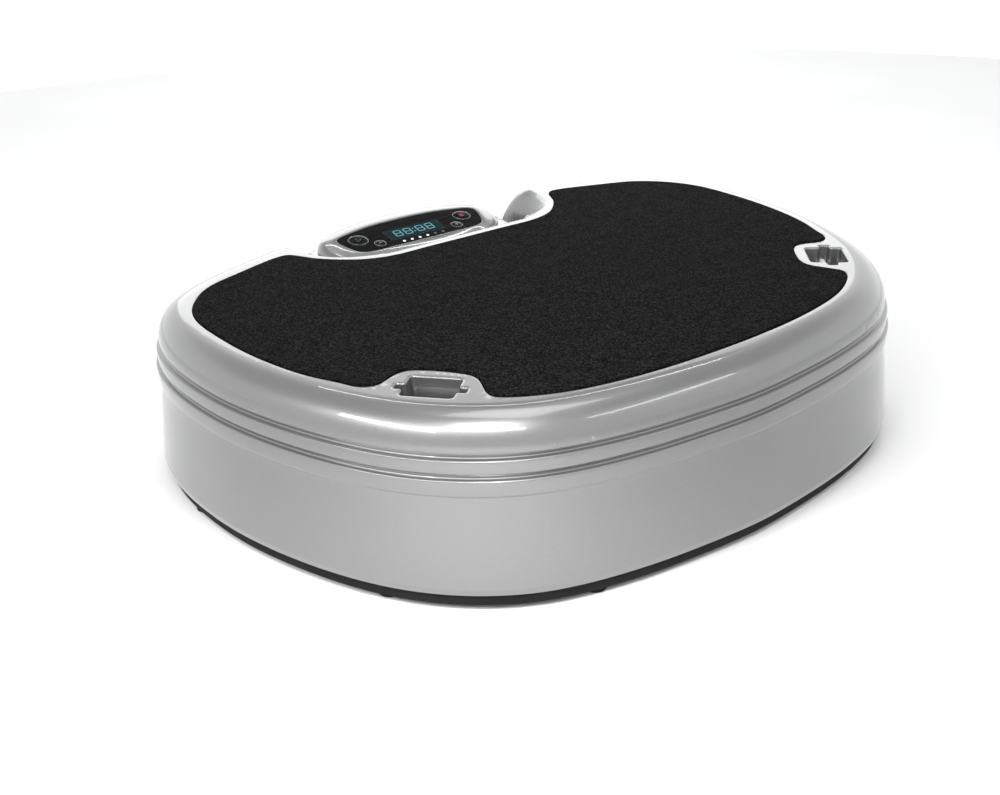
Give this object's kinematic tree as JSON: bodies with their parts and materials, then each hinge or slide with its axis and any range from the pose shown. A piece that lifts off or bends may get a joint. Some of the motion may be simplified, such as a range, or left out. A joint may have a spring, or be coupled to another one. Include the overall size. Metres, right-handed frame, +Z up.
{
  "type": "vibration plate",
  "caption": "Low oval vibration platform: charcoal mat on a banded silver shell, tilted console between two hand holds, strap slots, black base pan on rubber feet.",
  "frame": {"origin": "on the floor under the middle of the shell", "axes": "+Z up, +X to the right along the longest side, +Y towards the console"},
  "size_m": [0.715, 0.586, 0.165],
  "materials": {
    "shell_paint": "glossy silver metallic paint on a moulded shell",
    "mat_rubber": "charcoal rubber with a fine speckled grain",
    "deck_metal": "plain machined plate",
    "frame_steel": "dark satin powder coat",
    "black_plastic": "fine matt texture",
    "foot_rubber": "matt black rubber",
    "bright_steel": "turned steel",
    "cast_motor": "cast grey iron",
    "panel_gloss": "piano black",
    "display_tint": "tinted gloss window",
    "led_glow": "milky lens",
    "circuit_board": "green solder mask",
    "driver_case": "folded sheet"
  },
  "bodies": {
    "base": {"base_pan": "black_plastic", "foot_left_1": "foot_rubber", "foot_left_2": "foot_rubber", "foot_left_3": "foot_rubber", "foot_left_4": "foot_rubber", "foot_right_1": "foot_rubber", "foot_right_2": "foot_rubber", "foot_right_3": "foot_rubber", "foot_right_4": "foot_rubber", "isolator_bolt_left_front": "bright_steel", "isolator_bolt_left_rear": "bright_steel", "isolator_bolt_right_front": "bright_steel", "isolator_bolt_right_rear": "bright_steel", "isolator_left_front": "foot_rubber", "isolator_left_rear": "foot_rubber", "isolator_right_front": "foot_rubber", "isolator_right_rear": "foot_rubber", "control_board": "circuit_board", "motor_driver": "driver_case", "power_plate": "black_plastic", "mains_inlet": "black_plastic", "switch_housing": "black_plastic"},
    "platform": {"shell": "shell_paint", "mat": "mat_rubber", "deck_plate": "deck_metal", "beam_left": "frame_steel", "beam_right": "frame_steel", "motor_front": "cast_motor", "motor_rear": "cast_motor", "motor_clamp_front": "frame_steel", "motor_clamp_rear": "frame_steel", "strap_bar_left": "bright_steel", "strap_bar_right": "bright_steel", "console_housing": "shell_paint", "console_panel": "panel_gloss", "led_1": "led_glow", "led_2": "led_glow", "led_3": "led_glow", "led_4": "led_glow", "led_5": "led_glow", "led_6": "led_glow", "display_window": "display_tint", "display_module": "black_plastic", "console_board": "circuit_board"},
    "rotor_front": {"rotor_shaft_front": "bright_steel", "eccentric_front_left": "cast_motor", "eccentric_front_right": "cast_motor"},
    "rotor_rear": {"rotor_shaft_rear": "bright_steel", "eccentric_rear_left": "cast_motor", "eccentric_rear_right": "cast_motor"},
    "button_start": {"button_start": "panel_gloss"},
    "button_stop": {"button_stop": "panel_gloss"},
    "button_minus": {"button_minus": "panel_gloss"},
    "button_plus": {"button_plus": "panel_gloss"},
    "rocker": {"power_rocker": "panel_gloss"}
  },
  "joints": [
    {"name": "platform_bounce", "type": "slide", "parent": "base", "child": "platform", "axis": [0, 0, 1], "range_m": [-0.002, 0.002], "stiffness_N_per_m": 200000, "springref_m": 0.00114, "deforming": ["isolator_left_front", "isolator_left_rear", "isolator_right_front", "isolator_right_rear"]},
    {"name": "rotor_front_spin", "type": "hinge", "parent": "platform", "child": "rotor_front", "pos_m": [0, -0.062, 0.105], "axis": [1, 0, 0], "continuous": true},
    {"name": "rotor_rear_spin", "type": "hinge", "parent": "platform", "child": "rotor_rear", "pos_m": [0, 0.062, 0.105], "axis": [1, 0, 0], "continuous": true},
    {"name": "button_start_press", "type": "slide", "parent": "platform", "child": "button_start", "axis": [0, 0.1882, -0.9821], "range_m": [0, 0.0006], "stiffness_N_per_m": 800},
    {"name": "button_stop_press", "type": "slide", "parent": "platform", "child": "button_stop", "axis": [0, 0.1882, -0.9821], "range_m": [0, 0.0006], "stiffness_N_per_m": 800},
    {"name": "button_minus_press", "type": "slide", "parent": "platform", "child": "button_minus", "axis": [0, 0.1882, -0.9821], "range_m": [0, 0.0006], "stiffness_N_per_m": 800},
    {"name": "button_plus_press", "type": "slide", "parent": "platform", "child": "button_plus", "axis": [0, 0.1882, -0.9821], "range_m": [0, 0.0006], "stiffness_N_per_m": 800},
    {"name": "power_rocker_tilt", "type": "hinge", "parent": "base", "child": "rocker", "pos_m": [0.019, 0.2835, 0.04], "axis": [1, 0, 0], "range_deg": [-8, 0]}
  ],
  "couplings": [
    {"joint": "rotor_rear_spin", "follows": "rotor_front_spin", "ratio": -1}
  ]
}
